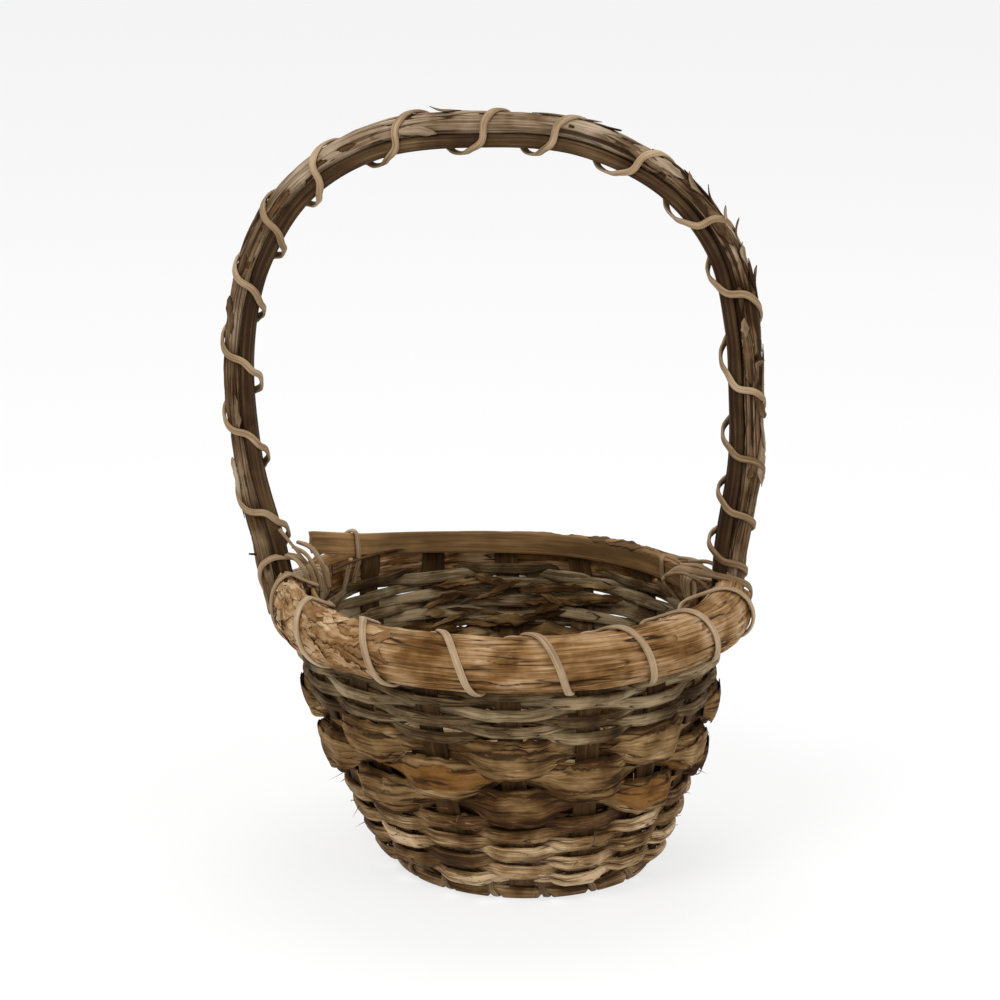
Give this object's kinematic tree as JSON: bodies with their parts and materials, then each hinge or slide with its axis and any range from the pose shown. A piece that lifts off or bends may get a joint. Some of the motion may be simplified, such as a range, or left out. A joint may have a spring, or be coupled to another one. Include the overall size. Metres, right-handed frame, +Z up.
{
  "type": "woven basket",
  "caption": "Round open basket of flat stakes and woven rows with thick bark bands, a rolled bark rim and a tall fixed arch handle bound with cane.",
  "frame": {"origin": "on the floor, under the middle of the whole basket with its handle", "axes": "+X runs along the handle from its left foot to its right foot, +Y from the front of the rim to the back, +Z up the handle"},
  "size_m": [0.2685, 0.2377, 0.3762],
  "materials": {
    "dark_splint": "matt, aged",
    "pale_weaver": "matt, dry",
    "grey_weaver": "matt, weathered",
    "bark": "rough, cracked",
    "bark_roll": "rough, cracked",
    "bamboo_hoop": "satin",
    "split_bamboo": "satin",
    "handle_bark": "rough, fibrous",
    "cane": "satin"
  },
  "bodies": {
    "root": {"splint_front_back_1": "dark_splint", "splint_front_back_2": "dark_splint", "splint_front_back_3": "dark_splint", "splint_front_back_4": "dark_splint", "splint_front_back_5": "dark_splint", "splint_left_right_1": "dark_splint", "splint_left_right_2": "dark_splint", "splint_left_right_3": "dark_splint", "weaver_base": "pale_weaver", "weaver_lower_1": "pale_weaver", "weaver_lower_2": "pale_weaver", "weaver_lower_3": "pale_weaver", "weaver_lower_4": "pale_weaver", "weaver_lower_5": "pale_weaver", "weaver_lower_6": "pale_weaver", "weaver_lower_7": "pale_weaver", "weaver_upper_1": "grey_weaver", "weaver_upper_2": "grey_weaver", "weaver_upper_3": "grey_weaver", "weaver_upper_4": "grey_weaver", "weaver_upper_5": "grey_weaver", "weaver_upper_6": "grey_weaver", "bark_row_1": "bark", "bark_row_2": "bark", "bark_row_3": "bark", "base_ring": "pale_weaver", "rim_roll_front": "bark_roll", "rim_roll_back": "bark_roll", "rim_inner_hoop": "bamboo_hoop", "handle_core_front": "split_bamboo", "handle_core_back": "split_bamboo", "handle_bark_rod": "handle_bark", "rim_lashing_front": "cane", "rim_tie_left": "cane", "rim_tie_right": "cane", "handle_binding": "cane", "foot_lashing_left": "cane", "foot_lashing_right": "cane", "base_lashing": "cane"}
  },
  "joints": []
}
